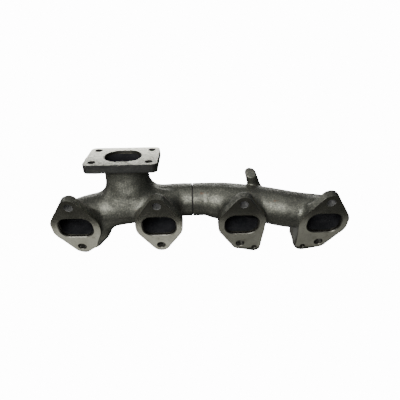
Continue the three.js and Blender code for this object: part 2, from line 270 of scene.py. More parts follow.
def upright_duct(path, centre_x, table):
    """A duct in the plane X = centre_x, leaning towards +X as it goes down."""
    def shape(x, y, z):
        x = x - RISER_LEAN * (TURBO_CENTRE[2] - z)
        share, side, over = along_path(path, y[0], z[0])
        half_u, half_v, corner = (k[None] for k in stations(share, table))
        flat = rounded_box_2d(side[None], x - centre_x, half_u, half_v, corner)
        return np.maximum(flat, over[None])
    return shape


def plate(circles, centre_x, low, high, edge=2.5, draft=0.0):
    """A plate with the outline round circles, from Y = low to Y = high."""
    points = outline_round(circles)

    def shape(x, y, z):
        flat = polygon_distance(points, x[:, 0] - centre_x, z[0])[:, None, :]
        return thick(flat + draft * (y - low), low, high, y, edge)
    return shape


def bar(start, end, start_r, end_r):
    """A round bar between two points, with ball ends and changing radius."""
    start, end = np.array(start, float), np.array(end, float)
    axis = end - start
    length_squared = max(axis @ axis, 1e-9)

    def shape(x, y, z):
        dot = (x - start[0]) * axis[0] + (y - start[1]) * axis[1] + (z - start[2]) * axis[2]
        t = np.clip(dot / length_squared, 0, 1)
        gap = (x - start[0] - t * axis[0]) ** 2 + (y - start[1] - t * axis[1]) ** 2
        gap = gap + (z - start[2] - t * axis[2]) ** 2
        return np.sqrt(gap) - (start_r + (end_r - start_r) * t)
    return shape


def round_log(low_x, high_x, radius, edge=0.0):
    """A cylinder on the log's axis."""
    def shape(x, y, z):
        flat = np.hypot(y - LOG_Y, z) - radius
        return thick(flat, low_x, high_x, x, edge)
    return shape


def turbo_slab(half_width, half_depth, corner, low, high, edge=2.0):
    """A slab in the turbocharger flange's own frame, with heights along its normal."""
    def shape(x, y, z):
        y, z = y - TURBO_CENTRE[1], z - TURBO_CENTRE[2]
        depth = y * math.cos(TURBO_TILT) - z * math.sin(TURBO_TILT)
        height = y * math.sin(TURBO_TILT) + z * math.cos(TURBO_TILT)
        flat = rounded_box_2d(x - TURBO_CENTRE[0], depth, half_width, half_depth, corner)
        return thick(flat, low, high, height, edge)
    return shape


def smooth_noise(block, spacing, seed):
    """Soft random bumps over a block, about one unit high, a few cells apart."""
    rng = np.random.default_rng(seed)
    counts = [int((a[-1] - a[0]) / spacing) + 4 for a in block.axes]
    values = rng.standard_normal(counts).astype(np.float32)
    for k, axis in enumerate(block.axes):
        place = (axis - axis[0]) / spacing
        cell = place.astype(int)
        t = (place - cell).astype(np.float32)
        ease = t * t * (3 - 2 * t)
        ease = ease.reshape([-1 if i == k else 1 for i in range(3)])
        low, high = np.take(values, cell, axis=k), np.take(values, cell + 1, axis=k)
        values = low + (high - low) * ease
    return values


# ---- From field to mesh --------------------------------------------------------

def sample(field, low, points):
    """Value and slope of a field at points, by linear interpolation."""
    place = (points - low) / CELL
    top = np.array(field.shape) - 2
    cell = np.clip(place.astype(int), 0, top)
    t = place - cell
    i, j, k = cell.T
    c = {
        (a, b, d): field[i + a, j + b, k + d]
        for a in (0, 1) for b in (0, 1) for d in (0, 1)
    }
    x, y, z = t.T
    x00, x10 = c[0, 0, 0] * (1 - x) + c[1, 0, 0] * x, c[0, 1, 0] * (1 - x) + c[1, 1, 0] * x
    x01, x11 = c[0, 0, 1] * (1 - x) + c[1, 0, 1] * x, c[0, 1, 1] * (1 - x) + c[1, 1, 1] * x
    low_z, high_z = x00 * (1 - y) + x10 * y, x01 * (1 - y) + x11 * y
    value = low_z * (1 - z) + high_z * z
    d0, d1 = c[1, 0, 0] - c[0, 0, 0], c[1, 1, 0] - c[0, 1, 0]
    d2, d3 = c[1, 0, 1] - c[0, 0, 1], c[1, 1, 1] - c[0, 1, 1]
    slope_x = (d0 * (1 - y) + d1 * y) * (1 - z) + (d2 * (1 - y) + d3 * y) * z
    slope_y = (x10 - x00) * (1 - z) + (x11 - x01) * z
    slope = np.column_stack([slope_x, slope_y, high_z - low_z]) / CELL
    return value, slope


def surface_nets(field, low):
    """Vertices and quads of the surface where a field is zero."""
    inside = field < 0
    corner_offsets = [(a, b, d) for a in (0, 1) for b in (0, 1) for d in (0, 1)]
    shape = np.array(field.shape)
    count = np.zeros(shape - 1, np.int8)
    for a, b, d in corner_offsets:
        count += inside[a:shape[0] - 1 + a, b:shape[1] - 1 + b, d:shape[2] - 1 + d]
    cells = np.argwhere((count > 0) & (count < 8))
    number = np.full(shape - 1, -1, np.int64)
    number[tuple(cells.T)] = np.arange(len(cells))
    total = np.zeros((len(cells), 3))
    crossings = np.zeros(len(cells))
    for start in corner_offsets:
        for axis in range(3):
            if start[axis]:
                continue
            end = list(start)
            end[axis] = 1
            v0 = field[tuple((cells + start).T)]
            v1 = field[tuple((cells + end).T)]
            crossed = (v0 < 0) != (v1 < 0)
            t = np.where(crossed, v0 / np.where(crossed, v0 - v1, 1), 0)
            point = np.array(start, float) + t[:, None] * (np.arange(3) == axis)
            total += point * crossed[:, None]
            crossings += crossed
    vertices = low + (cells + total / crossings[:, None]) * CELL
    quads = []
    for axis in range(3):
        head, tail = [slice(None)] * 3, [slice(None)] * 3
        head[axis], tail[axis] = slice(0, -1), slice(1, None)
        before, after = inside[tuple(head)], inside[tuple(tail)]
        b, c = [k for k in range(3) if k != axis]
        for rising in (True, False):
            edges = np.argwhere(before & ~after if rising else ~before & after)
            keep = (edges[:, b] > 0) & (edges[:, c] > 0)
            keep &= (edges[:, b] < shape[b] - 1) & (edges[:, c] < shape[c] - 1)
            edges = edges[keep]
            around = []
            for step_b, step_c in ((1, 1), (0, 1), (0, 0), (1, 0)):
                cell = edges.copy()
                cell[:, b] -= step_b
                cell[:, c] -= step_c
                around.append(number[tuple(cell.T)])
            forward = rising != (axis == 1)
            quads.append(np.column_stack(around if forward else around[::-1]))
    return vertices, np.vstack(quads)


def relaxed(vertices, quads, field, low, rounds=3):
    """Evens out a net's vertices and puts them back on the surface."""
    for _ in range(rounds):
        total = np.zeros_like(vertices)
        count = np.zeros(len(vertices))
        for a, b in ((0, 1), (1, 2), (2, 3), (3, 0)):
            for p, q in ((a, b), (b, a)):
                np.add.at(total, quads[:, p], vertices[quads[:, q]])
                np.add.at(count, quads[:, p], 1)
        vertices = 0.5 * vertices + 0.5 * total / count[:, None]
        for _ in range(2):
            value, slope = sample(field, low, vertices)
            steep = np.maximum((slope ** 2).sum(1), 0.25)
            move = slope * (value / steep)[:, None]
            vertices = vertices - np.clip(move, -CELL, CELL)
    return vertices


def mesh_object(name, vertices, faces):
    mesh = bpy.data.meshes.new(name)
    vertices = np.asarray(vertices, np.float32) * MM
    if isinstance(faces, np.ndarray):
        mesh.vertices.add(len(vertices))
        mesh.vertices.foreach_set("co", vertices.ravel())
        mesh.loops.add(faces.size)
        mesh.loops.foreach_set("vertex_index", faces.ravel().astype(np.int32))
        mesh.polygons.add(len(faces))
        mesh.polygons.foreach_set("loop_start", np.arange(0, faces.size, 4, dtype=np.int32))
        mesh.update(calc_edges=True)
    else:
        mesh.from_pydata([tuple(v) for v in vertices], [], faces)
    made = bpy.data.objects.new(name, mesh)
    bpy.context.scene.collection.objects.link(made)
    return made


# ---- Cutters -------------------------------------------------------------------

CAST, MACHINED, DRILLED, JOINT_LAND, PASSAGE, PAINTED_LIT_HOLE = range(6)


def stacked(rings, closed=False):
    """Vertices and faces of a surface through rings of points, capped unless it closes."""
    size = len(rings[0])
    vertices = [tuple(p) for ring in rings for p in ring]
    faces = []
    for i in range(len(rings) if closed else len(rings) - 1):
        here, there = i * size, (i + 1) % len(rings) * size
        for a in range(size):
            b = (a + 1) % size
            faces.append((here + a, here + b, there + b, there + a))
    if not closed:
        faces.append(tuple(range(size)))
        faces.append(tuple((len(rings) - 1) * size + a for a in range(size)))
    return vertices, faces


def turned(profile, centre, direction, segments=72, closed=False):
    """A turned shape: its profile lists (distance along the direction, radius)."""
    direction = Vector(direction).normalized()
    across = direction.orthogonal().normalized()
    up = direction.cross(across)
    rings = []
    for distance, radius in profile:
        middle = Vector(centre) + distance * direction
        angles = [math.tau * k / segments for k in range(segments)]
        rings.append([
            middle + radius * (math.cos(a) * across + math.sin(a) * up) for a in angles
        ])
    return stacked(rings, closed)


def rounded_outline(half_u, half_v, corner, per_corner=14):
    """Points of a rounded rectangle, counter-clockwise."""
    points = []
    for quarter, (u, v) in enumerate(((1, 1), (-1, 1), (-1, -1), (1, -1))):
        for angle in np.linspace(quarter, quarter + 1, per_corner) * math.pi / 2:
            points.append((
                u * (half_u - corner) + corner * math.cos(angle),
                v * (half_v - corner) + corner * math.sin(angle),
            ))
    return points


def opening_tool(half_u, half_v, corner, levels, place):
    """A tool for a rounded opening; levels list (depth, how much wider it is there)."""
    rings = []
    for depth, wider in levels:
        outline = rounded_outline(half_u + wider, half_v + wider, corner + wider)
        rings.append([place(u, v, depth) for u, v in outline])
    return stacked(rings)


def slab_tool(corners, rise):
    """A block standing on four corners."""
    rise = Vector(rise)
    base = [Vector(c) for c in corners]
    return stacked([base, [c + rise for c in base]])


def at_port(number):
    return lambda u, v, depth: Vector((port_x(number) + u, depth, v))


def on_turbo(u, v, depth):
    """A point of the turbocharger flange's face frame; depth goes down into the metal."""
    sin, cos = math.sin(TURBO_TILT), math.cos(TURBO_TILT)
    return Vector((
        TURBO_CENTRE[0] + u,
        TURBO_CENTRE[1] + v * cos - depth * sin,
        TURBO_CENTRE[2] - v * sin - depth * cos,
    ))


def machine(casting, tools, surface):
    """Cuts tools that don't touch each other out of a casting."""
    vertices, faces = [], []
    for tool_vertices, tool_faces in tools:
        start = len(vertices)
        vertices += tool_vertices
        faces += [tuple(start + k for k in face) for face in tool_faces]
    cutter = mesh_object("cutter", vertices, faces)
    shape = bmesh.new()
    shape.from_mesh(cutter.data)
    bmesh.ops.recalc_face_normals(shape, faces=shape.faces)
    shape.to_mesh(cutter.data)
    shape.free()
    for material in casting.data.materials:
        cutter.data.materials.append(material)
    for polygon in cutter.data.polygons:
        polygon.material_index = surface
    cut = casting.modifiers.new("cut", "BOOLEAN")
    cut.operation = "DIFFERENCE"
    cut.solver = "MANIFOLD"
    cut.object = cutter
    bpy.context.view_layer.update()
    evaluated = casting.evaluated_get(bpy.context.evaluated_depsgraph_get())
    made = bpy.data.meshes.new_from_object(evaluated)
    casting.modifiers.clear()
    casting.data = made
    bpy.data.objects.remove(cutter)


def casting_object(name, block, materials, seed):
    rough = 0.18 * smooth_noise(block, 9.0, seed) + 0.07 * smooth_noise(block, 3.2, seed + 1)
    rough += 0.04 * smooth_noise(block, 1.9, seed + 2)
    solid = np.maximum(block.field, -block.hollow) + rough
    vertices, quads = surface_nets(solid, block.low)
    vertices = relaxed(vertices, quads, solid, block.low)
    low, high = np.array(cad_low) / MM + BOX_MARGIN, np.array(cad_high) / MM - BOX_MARGIN
    low[1], high[2] = -np.inf, np.inf
    vertices = np.clip(vertices, low, high)
    casting = mesh_object(name, vertices, quads)
    for material in materials:
        casting.data.materials.append(material)
    # Faces well inside the outer shape are the passage walls. They get the near-black passage
    # material, which is painted shade.
    depth, _ = sample(block.field, block.low, vertices[quads].mean(axis=1))
    cored = np.where(depth < -2.5, PASSAGE, CAST).astype(np.int32)
    casting.data.polygons.foreach_set("material_index", cored)
    return casting


def finish_casting(casting, node, body):
    mesh = casting.data
    surface = np.zeros(len(mesh.polygons), np.int32)
    mesh.polygons.foreach_get("material_index", surface)
    mesh.set_sharp_from_angle(angle=math.radians(32))
    mesh.polygons.foreach_set("use_smooth", surface != MACHINED)
    mesh.name = casting.name
    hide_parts(node)
    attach(casting, body)


# ---- The two castings ----------------------------------------------------------

def flange_circles(ear_x=0.0):
    half_x, half_z = PORT_HALF_WIDTH - PORT_CORNER, PORT_HALF_HEIGHT - PORT_CORNER
    radius = PORT_CORNER + FLANGE_RIM
    ear = [(ear_x, EAR[1], EAR_R)]
    return [
        *(ear if ear_x > 0 else []),
        (half_x, -half_z, radius),
        (half_x, half_z, radius),
        (0, BOLT_Z, BOLT_LOBE_R),
        (-half_x, half_z, radius),
        (-half_x, -half_z, radius),
        *(ear if ear_x < 0 else []),
        (0, -BOLT_Z, BOLT_LOBE_R),
    ]


def add_flange(block, number, ear_x=0.0):
    x = port_x(number)
    shape = plate(flange_circles(ear_x), x, -3, FLANGE_THICKNESS, edge=2.2)
    block.add(shape, (x - 45, -4, -70), (x + 45, 24, 66), blend=7)


CORED_PORT = (PORT_HALF_WIDTH - 0.7, PORT_HALF_HEIGHT - 0.7, PORT_CORNER - 0.7)


def add_runner(block, number):
    x = port_x(number)

    def outer(gx, y, z):
        flat = rounded_box_2d(gx - x, z, PORT_HALF_WIDTH + WALL, PORT_HALF_HEIGHT + WALL, 23)
        return thick(flat, 4, 52, y, 0.5)

    def inner(gx, y, z):
        flat = rounded_box_2d(gx - x, z, *CORED_PORT)
        return thick(flat, -6, 50, y, 0.5)
    block.add(outer, (x - 60, -4, -50), (x + 60, 90, 50), blend=10)
    block.carve(inner, (x - 45, -6, -40), (x + 45, 60, 40), blend=8)


FRONT_PATH = smooth_path([
    (port_x(1), 0), (port_x(1) + 2, 16), (port_x(1) + 13, 31), (port_x(1) + 40, 44),
    (port_x(1) + 82, 53), (port_x(2), 58.5), (-36, LOG_Y), (-8, LOG_Y),
])
FRONT_OUTER = [
    (0, 33, 27, 23, 0), (0.06, 33, 27, 23, 0), (0.26, 31, 30.5, 30.4, -2.5),
    (0.5, 31, 31, 30.9, -1.5), (0.74, 28.2, 28.2, 28.1, 0), (0.84, 27.7, 27.7, 27.6, 0),
    (1, 27.7, 27.7, 27.6, 0),
]
FRONT_BORE = [
    (0, *CORED_PORT, 0), (0.06, *CORED_PORT, 0), (0.28, 24.5, 24.5, 24.4, -1.5),
    (0.55, 24.5, 24.5, 24.4, -1), (1, 19.5, 19.5, 19.4, 0),
]
RISER_PATH = smooth_path([(LOG_Y - 8, 0), (62.3, 32.6), (67.9, 56), (74.4, 83.2)])
RISER_LONG_PATH = smooth_path([(LOG_Y - 8, 0), (62.3, 32.6), (67.9, 56), (75.8, 89)])


def front_casting(materials):
    block = Block((-236, -6, -68), (-6, 116, 98))
    whole = (-240, -10, -70), (0, 120, 100)
    block.add(level_duct(FRONT_PATH, FRONT_OUTER), *whole)
    add_runner(block, 2)
    riser = upright_duct(RISER_PATH, TURBO_CENTRE[0] + 1, [
        (0, 36, 38, 34), (0.35, 32.5, 36, 31), (0.72, 27.8, 34, 27.7), (1, 27.8, 34, 27.7),
    ])
    block.add(riser, (-190, 10, -40), (-50, 116, 98), blend=20)
    block.add(bar((-190, 9.5, -53.5), (-176.3, 12, -41.4), 9.5, 11.5), *whole, blend=4)
    block.add(bar((-176.3, 12, -41.4), (-165, 18, -27), 11.5, 14), *whole, blend=8)
    block.add(bar((-165, 18, -27), (-157, 41, -14), 14, 16), *whole, blend=10)
    turbo = turbo_slab(
        TURBO_HALF_WIDTH, TURBO_HALF_DEPTH - 0.25, TURBO_CORNER, -TURBO_THICKNESS, 3, edge=1.5
    )
    block.add(turbo, (-180, 25, 50), (-55, 116, 98), blend=7)
    add_flange(block, 1)
    add_flange(block, 2)
    block.carve(level_duct(FRONT_PATH, FRONT_BORE), *whole)
    riser_bore = upright_duct(RISER_LONG_PATH, TURBO_CENTRE[0], [
        (0, 24.5, 34, 24.4), (0.66, 21.7, 27.9, 21.6), (1, 21.7, 27.9, 21.6),
    ])
    block.carve(riser_bore, (-190, 10, -40), (-50, 116, 98), blend=12)
    casting = casting_object("front_casting", block, materials, 11)
    sin, cos = math.sin(TURBO_TILT), math.cos(TURBO_TILT)
    machine(casting, [
        slab_tool([(-250, -20, -90), (0, -20, -90), (0, 0, -90), (-250, 0, -90)], (0, 0, 200)),
        slab_tool([on_turbo(u, v, 0) for u, v in ((-70, -50), (70, -50), (70, 50), (-70, 50))],
                  (0, 20 * sin, 20 * cos)),
    ], MACHINED)
    face = JOINT_X - JOINT_GAP / 2
    machine(casting, [
        slab_tool([(face, 20, -50), (20, 20, -50), (20, 100, -50), (face, 100, -50)], (0, 0, 100)),
    ], JOINT_LAND)
    tools = [port_tool(1), port_tool(2), bolt_tool(1, -BOLT_Z), bolt_tool(2, -BOLT_Z)]
    levels = [(-4, 5.0), (0, 1.0), (1.0, 0), (5, 0)]
    tools.append(opening_tool(*TURBO_PORT, TURBO_PORT[1] - 0.01, levels, on_turbo))
    for u in (-1, 1):
        for v in (-1, 1):
            top = on_turbo(u * TURBO_BOLTS[0], v * TURBO_BOLTS[1], 0)
            profile = [(-3, TURBO_HOLE_R + 3.7), (0.7, TURBO_HOLE_R), (30, TURBO_HOLE_R)]
            tools.append(turned(profile, top, (0, -sin, -cos), 40))
    machine(casting, tools, DRILLED)
    # The upper bolt holes get the painted lit copy of the hole wall.
    machine(casting, [bolt_tool(1, BOLT_Z), bolt_tool(2, BOLT_Z)], PAINTED_LIT_HOLE)
    bore = [
        (-3, COUNTERBORE_R), (COUNTERBORE_DEPTH, COUNTERBORE_R),
        (COUNTERBORE_DEPTH + 1.5, SOCKET_R), (SOCKET_DEPTH, SOCKET_R),
    ]
    edge = [
        (-0.6, 45), (-0.6, LOG_END_R - JOINT_EDGE - 0.6), (JOINT_EDGE + 1, LOG_END_R + 1),
        (JOINT_EDGE + 1, 45),
    ]
    machine(casting, [
        turned(bore, (face, LOG_Y, 0), (-1, 0, 0)),
        turned(edge, (face, LOG_Y, 0), (-1, 0, 0), closed=True),
    ], JOINT_LAND)
    finish_casting(casting, "front_manifold", "front")
    return casting


def port_tool(number):
    levels = [(-4, 5.2), (0, 1.2), (1.2, 0), (5, 0)]
    return opening_tool(
        PORT_HALF_WIDTH, PORT_HALF_HEIGHT, PORT_CORNER, levels, at_port(number)
    )


def bolt_tool(number, z):
    chamfer = 0.4 if z > 0 else 0.9
    profile = [
        (-3, BOLT_HOLE_R + chamfer + 3), (chamfer, BOLT_HOLE_R),
        (FLANGE_THICKNESS - 0.6, BOLT_HOLE_R),
        (FLANGE_THICKNESS - 0.6, BOLT_SEAT_R), (32, BOLT_SEAT_R),
    ]
    return turned(profile, (port_x(number), 0, z), (0, 1, 0), 56)


def ear_tool(number, ear_x):
    profile = [(-3, EAR_HOLE_R + 3.5), (0.5, EAR_HOLE_R), (FLANGE_THICKNESS + 12, EAR_HOLE_R)]
    return turned(profile, (port_x(number) + ear_x, 0, EAR[1]), (0, 1, 0), 32)


REAR_PATH = smooth_path([
    (-16, LOG_Y), (12, LOG_Y), (port_x(3) - 33, 57.5), (port_x(3) + 6, 52),
    (port_x(4) - 85, 45), (port_x(4) - 50, 35), (port_x(4) - 4, 28),
])
REAR_OUTER = [
    (0, 27.7, 27.7, 27.6, 0), (0.1, 27.7, 27.7, 27.6, 0), (0.26, 31, 31.3, 30.9, -0.4),
    (0.7, 30.2, 30.2, 30.1, -1), (1, 28.6, 28.6, 28.5, -1.6),
]
REAR_BORE = [
    (0, 17, 17, 16.9, 0), (0.1, 17, 17, 16.9, 0), (0.34, 24, 24, 23.9, 0),
    (0.8, 23.4, 23.4, 23.3, -0.5), (1, 22.8, 22.8, 22.7, -1),
]


def spigot_tool():
    """The tool that turns the spigot and its ring grooves; it ends at the shoulder."""
    shoulder = JOINT_X + JOINT_GAP / 2
    land = shoulder - LAND_LENGTH
    edge = [(shoulder + JOINT_EDGE + 1, 45), (shoulder + JOINT_EDGE + 1, LOG_END_R + 1)]
    inner = [*edge, (shoulder, LOG_END_R - JOINT_EDGE), (shoulder, LAND_R)]
    inner += [(land, LAND_R), (land, SPIGOT_R)]
    for number in range(3):
        middle = shoulder - FIRST_RING_X - number * RING_PITCH
        near, far = middle + GROOVE_WIDTH / 2, middle - GROOVE_WIDTH / 2
        inner += [(near, SPIGOT_R), (near, GROOVE_R), (far, GROOVE_R), (far, SPIGOT_R)]
    tip = shoulder - SPIGOT_LENGTH
    inner += [(tip + 1, SPIGOT_R), (tip, SPIGOT_R - 1), (tip, 10), (tip - 8, 10), (tip - 8, 45)]
    return turned(inner, (0, LOG_Y, 0), (1, 0, 0), 96, closed=True)


def rear_casting(materials):
    block = Block((-56, -6, -68), (236, 98, 68))
    whole = (-60, -10, -70), (240, 110, 80)
    block.add(level_duct(REAR_PATH, REAR_OUTER), *whole)
    block.add(round_log(-50, 0, 25), *whole)
    x = port_x(4)

    def duct(half_u, half_v, corner, low, high):
        def shape(gx, y, z):
            return thick(rounded_box_2d(gx - x, z, half_u, half_v, corner), low, high, y, 0.5)
        return shape
    near_4 = (x - 60, -10, -60), (x + 60, 80, 60)
    elbow = (x - 4, 28, -1.5)
    block.add(bar(elbow, elbow, 28.6, 28.6), *near_4)
    block.add(duct(33, 27, 23, -3, 26), *near_4, blend=12)
    add_runner(block, 3)
    block.add(bar((x - 32, 6, -56), (x - 32, 34, -54), 5.5, 5.5), *whole, blend=3)
    block.add(bar((x - 32, 34, -54), (x - 34, 42, -30), 5.5, 8), *whole, blend=5)

    def web(gx, y, z):
        flat = rounded_box_2d(y - 20, z + 32, 18, 26, 6)
        return thick(flat, x - 36.5, x - 27.5, gx, 2)
    block.add(web, (x - 60, -4, -68), (x, 60, 10), blend=5)
    stub = bar(LUG_BASE, LUG_TOP, *LUG_RADII)

    def lug(gx, y, z):
        above = (z - LUG_PAD_Z) * math.cos(LUG_PAD_TILT) - (y - LUG_TOP[1]) * math.sin(LUG_PAD_TILT)
        return thick(stub(gx, y, z), -80, 0, above, 1.6)
    block.add(lug, (60, 40, -10), (120, 98, 62), blend=5)
    add_flange(block, 3, EAR[0])
    add_flange(block, 4, -EAR[0])
    block.carve(level_duct(REAR_PATH, REAR_BORE), *whole)
    block.carve(bar(elbow, elbow, 22.8, 22.8), *near_4)
    block.carve(duct(*CORED_PORT, -6, 22), *near_4, blend=8)
    casting = casting_object("rear_casting", block, materials, 37)
    machine(casting, [
        slab_tool([(20, -20, -90), (250, -20, -90), (250, 0, -90), (20, 0, -90)], (0, 0, 200)),
    ], MACHINED)
    machine(casting, [spigot_tool()], JOINT_LAND)
    tools = [port_tool(3), port_tool(4), ear_tool(3, EAR[0]), ear_tool(4, -EAR[0])]
    tools += [bolt_tool(3, -BOLT_Z), bolt_tool(4, -BOLT_Z)]
    tools.append(turned([(-52, JOINT_BORE_R), (-4, JOINT_BORE_R)], (0, LOG_Y, 0), (1, 0, 0)))
    machine(casting, tools, DRILLED)
    # The upper bolt holes get the painted lit copy of the hole wall.
    machine(casting, [bolt_tool(3, BOLT_Z), bolt_tool(4, BOLT_Z)], PAINTED_LIT_HOLE)
    finish_casting(casting, "rear_manifold", "rear")
    return casting


# ---- Sealing rings -------------------------------------------------------------

RING_SECTION = [
    (-1.2, 20.6), (-0.9, 20.3), (0.9, 20.3), (1.2, 20.6), (1.2, 22.2), (0.9, 22.5),
    (-0.9, 22.5), (-1.2, 22.2),
]
RING_SPLIT = 1.2


def sealing_ring(number, material):
    """A split ring with broken edges, sitting in its groove of the spigot."""
    middle = JOINT_X + JOINT_GAP / 2 - FIRST_RING_X - number * RING_PITCH
    gap = RING_SPLIT / 22.5
    turn = number * math.tau / 3
    rings = []
    for angle in np.linspace(gap / 2, math.tau - gap / 2, 120) - turn:
        rings.append([
            (middle + dx, LOG_Y + r * math.sin(angle), r * math.cos(angle))
            for dx, r in RING_SECTION
        ])
    vertices, faces = stacked(rings)
    name = f"split_ring_{number + 1}"
    ring = mesh_object(name, vertices, faces)
    shape = bmesh.new()
    shape.from_mesh(ring.data)
    bmesh.ops.recalc_face_normals(shape, faces=shape.faces)
    shape.to_mesh(ring.data)
    shape.free()
    ring.data.materials.append(material)
    ring.data.polygons.foreach_set("use_smooth", np.ones(len(ring.data.polygons), bool))
    ring.data.set_sharp_from_angle(angle=math.radians(30))
    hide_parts(f"sealing_ring_{number + 1}")
    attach(ring, "rings")


# ---- Materials -----------------------------------------------------------------

class Shader:
    """A principled material with short calls for its texture nodes."""

    def __init__(self, name, **settings):
        self.material = bpy.data.materials.new(name)
        self.material.use_nodes = True
        self.tree = self.material.node_tree
        self.surface = self.tree.nodes["Principled BSDF"]
        for socket, value in settings.items():
            self.surface.inputs[socket.replace("_", " ")].default_value = value
        self.place = self.node("ShaderNodeTexCoord").outputs["Object"]

    def node(self, kind, inputs=(), **settings):
        node = self.tree.nodes.new(kind)
        for key, value in settings.items():
            setattr(node, key, value)
        for key, value in dict(inputs).items():
            self.put(node.inputs[key], value)
        return node

    def put(self, socket, value):
        if isinstance(value, bpy.types.NodeSocket):
            self.tree.links.new(value, socket)
        else:
            socket.default_value = value

    def noise(self, scale, detail=3.0, rough=0.55, place=None):
        inputs = {"Vector": place or self.place, "Scale": scale, "Detail": detail}
        inputs["Roughness"] = rough
        return self.node("ShaderNodeTexNoise", inputs).outputs["Fac"]

    def ramp(self, value, low, high, start=0.0, end=1.0):
        inputs = {"Value": value, 1: low, 2: high, 3: start, 4: end}
        return self.node("ShaderNodeMapRange", inputs).outputs["Result"]

    def math(self, operation, a, b):
        return self.node("ShaderNodeMath", {0: a, 1: b}, operation=operation).outputs[0]

    def mix(self, share, a, b, blend="MIX"):
        node = self.node("ShaderNodeMix", data_type="RGBA", blend_type=blend)
        self.put(node.inputs["Factor"], share)
        self.put(node.inputs["A"], a)
        self.put(node.inputs["B"], b)
        return node.outputs["Result"]

    def bump(self, height, distance, strength=1.0, normal=None):
        node = self.node("ShaderNodeBump", {"Height": height, "Distance": distance})
        node.inputs["Strength"].default_value = strength
        if normal is not None:
            self.put(node.inputs["Normal"], normal)
        return node.outputs["Normal"]

    def stretched(self, scale, rotation=(0, 0, 0)):
        inputs = {"Vector": self.place, "Scale": scale, "Rotation": rotation}
        return self.node("ShaderNodeMapping", inputs).outputs["Vector"]


def cast_iron_material():
    s = Shader("cast_iron", Metallic=0.93)
    cloud = s.noise(28, 4)
    grain = s.noise(420, 4, 0.65)
    fine = s.noise(1500, 2, 0.6)
    tone = s.mix(s.ramp(cloud, 0.35, 0.65), (0.099, 0.101, 0.085, 1), (0.122, 0.124, 0.103, 1))
    tone = s.mix(s.ramp(grain, 0.46, 0.66, 0, 0.8), tone, (0.232, 0.231, 0.184, 1))
    tone = s.mix(s.ramp(fine, 0.58, 0.36, 0, 0.7), tone, (0.050, 0.050, 0.044, 1))
    rust = s.math("MULTIPLY", s.ramp(s.noise(90, 3), 0.66, 0.74), s.ramp(cloud, 0.5, 0.6))
    tone = s.mix(s.math("MULTIPLY", rust, 0.5), tone, (0.160, 0.085, 0.045, 1))
    # Painted shade: the cast skin from just under the turbocharger flange's underside upward, which
    # is the flange rim, is darkened towards flat grey.
    normal = Vector((0, math.sin(TURBO_TILT), math.cos(TURBO_TILT)))
    face = MM * normal.dot(TURBO_CENTRE)
    near = face - MM * TURBO_THICKNESS
    rise = s.node("ShaderNodeVectorMath", {0: s.place, 1: normal}, operation="DOT_PRODUCT")
    painted_rim_shade = s.ramp(rise.outputs["Value"], near - 0.003, near + 0.001, 0, 0.75)
    tone = s.mix(painted_rim_shade, tone, (0.052, 0.052, 0.052, 1))
    s.put(s.surface.inputs["Base Color"], tone)
    s.put(s.surface.inputs["Roughness"], s.ramp(grain, 0.35, 0.7, 0.54, 0.44))
    coarse = s.bump(grain, 0.0007, 0.4)
    s.put(s.surface.inputs["Normal"], s.bump(fine, 0.0002, 0.35, coarse))
    return s.material


def machined_material():
    s = Shader("machined_face", Metallic=1.0)
    cloud = s.noise(34, 4, 0.6)
    stain = s.noise(120, 5, 0.7)
    lines = s.noise(260, 2, 0.6, s.stretched((1, 1, 9)))
    pores = s.noise(1100, 2, 0.6)
    tone = s.mix(s.ramp(cloud, 0.32, 0.68), (0.32, 0.315, 0.252, 1), (0.46, 0.455, 0.375, 1))
    tone = s.mix(s.ramp(stain, 0.52, 0.72, 0, 0.5), tone, (0.12, 0.105, 0.075, 1))
    tone = s.mix(s.ramp(lines, 0.5, 0.75, 0, 0.4), tone, (0.16, 0.155, 0.135, 1))
    tone = s.mix(s.ramp(pores, 0.68, 0.78, 0, 0.8), tone, (0.05, 0.048, 0.04, 1))
    s.put(s.surface.inputs["Base Color"], tone)
    s.put(s.surface.inputs["Roughness"], s.ramp(stain, 0.3, 0.7, 0.12, 0.24))
    s.put(s.surface.inputs["Normal"], s.bump(lines, 0.00012, 0.35))
    return s.material


def drilled_material():
    s = Shader("drilled_edge", Metallic=1.0)
    cloud = s.noise(60, 3)
    rings = s.noise(900, 2, 0.5)
    tone = s.mix(s.ramp(cloud, 0.35, 0.65), (0.070, 0.068, 0.060, 1), (0.135, 0.132, 0.112, 1))
    s.put(s.surface.inputs["Base Color"], tone)
    s.put(s.surface.inputs["Roughness"], s.ramp(rings, 0.3, 0.7, 0.34, 0.5))
    s.put(s.surface.inputs["Normal"], s.bump(rings, 0.0001, 0.4))
    return s.material


# Painted light: a lit copy of the drilled hole wall for the upper bolt holes, lighter where these
# walls catch the light.
def painted_lit_hole_material():
    """The walls of the upper bolt holes, made lighter because the photo shows them lighter."""
    s = Shader("painted_lit_hole_wall", Metallic=0.25)
    cloud = s.noise(110, 3)
    rings = s.noise(900, 2, 0.5)
    tone = s.mix(s.ramp(cloud, 0.35, 0.65), (0.055, 0.055, 0.053, 1), (0.10, 0.10, 0.095, 1))
    s.put(s.surface.inputs["Base Color"], tone)
    s.put(s.surface.inputs["Roughness"], s.ramp(rings, 0.3, 0.7, 0.5, 0.7))
    s.put(s.surface.inputs["Normal"], s.bump(rings, 0.0001, 0.4))
    return s.material


def joint_land_material():
    s = Shader("joint_land", Metallic=0.8)
    scale = s.noise(70, 4, 0.6)
    lines = s.noise(700, 2, 0.5, s.stretched((6, 1, 1)))
    tone = s.mix(s.ramp(scale, 0.35, 0.65), (0.035, 0.034, 0.033, 1), (0.075, 0.072, 0.066, 1))
    s.put(s.surface.inputs["Base Color"], tone)
    s.put(s.surface.inputs["Roughness"], s.ramp(lines, 0.3, 0.7, 0.5, 0.65))
    s.put(s.surface.inputs["Normal"], s.bump(lines, 0.00008, 0.4))
    return s.material


